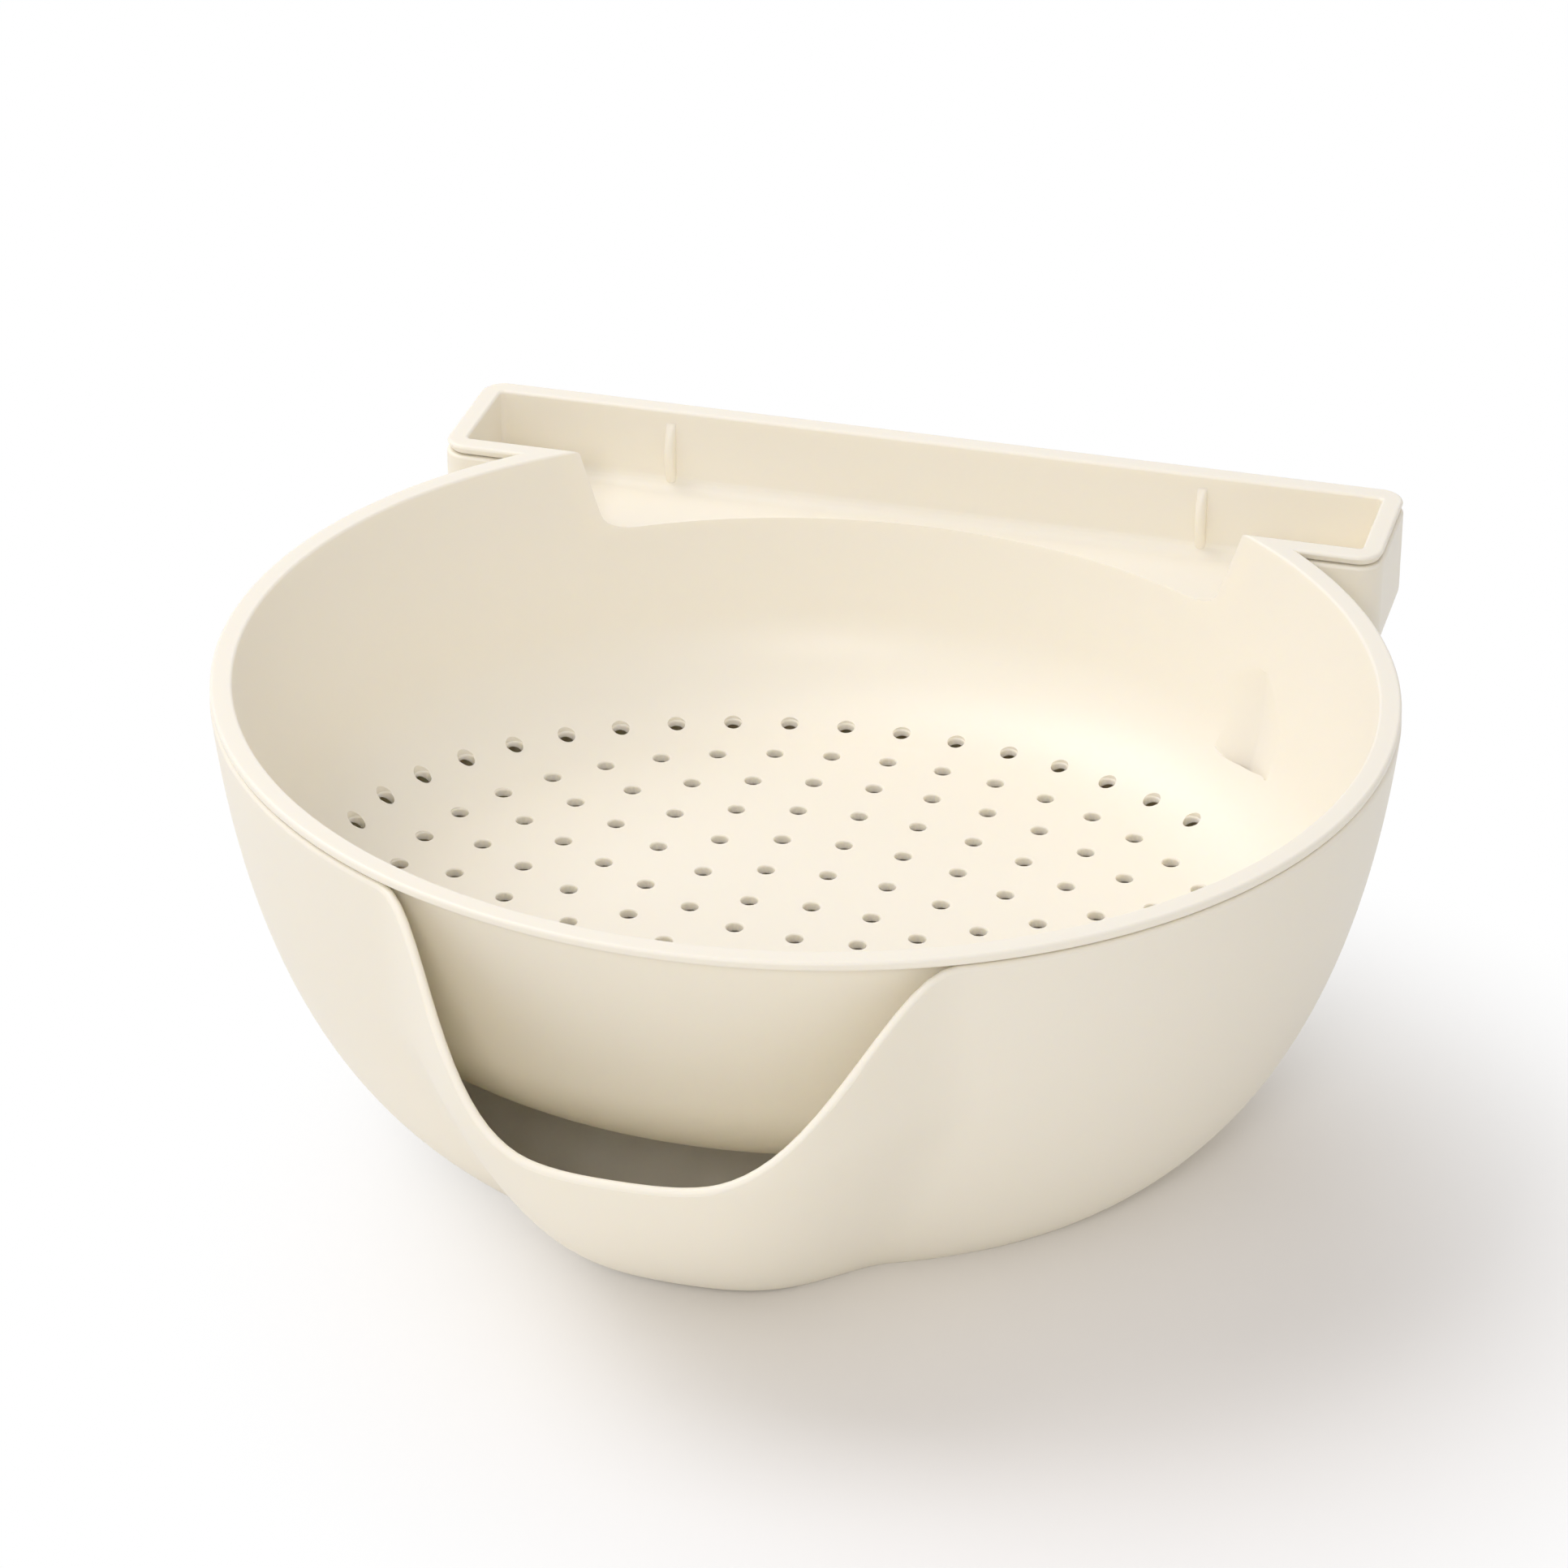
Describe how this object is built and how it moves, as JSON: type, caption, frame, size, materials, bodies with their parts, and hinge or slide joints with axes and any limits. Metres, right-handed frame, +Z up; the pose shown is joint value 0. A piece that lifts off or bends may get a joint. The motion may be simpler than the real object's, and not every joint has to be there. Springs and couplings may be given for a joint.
{
  "type": "double-layer colander bowl",
  "caption": "Oval washing bowl with a pouring spout and a perforated colander that hangs in it by its flange and lifts out, with a straight eared back.",
  "frame": {"origin": "on the underside of the bowl's flat base, below the centre of the oval rim", "axes": "+Z up, -Y towards the pouring spout, +Y towards the straight back, +X to the right seen from the spout"},
  "size_m": [0.2324, 0.2377, 0.087],
  "materials": {
    "bowl_plastic": "satin cream polypropylene",
    "colander_plastic": "satin cream polypropylene"
  },
  "bodies": {
    "bowl": {"outer_bowl": "bowl_plastic"},
    "strainer": {"colander": "colander_plastic"}
  },
  "joints": [
    {"name": "colander_lift", "type": "slide", "parent": "bowl", "child": "strainer", "axis": [0, 0, 1], "range_m": [0, 0.09]}
  ]
}
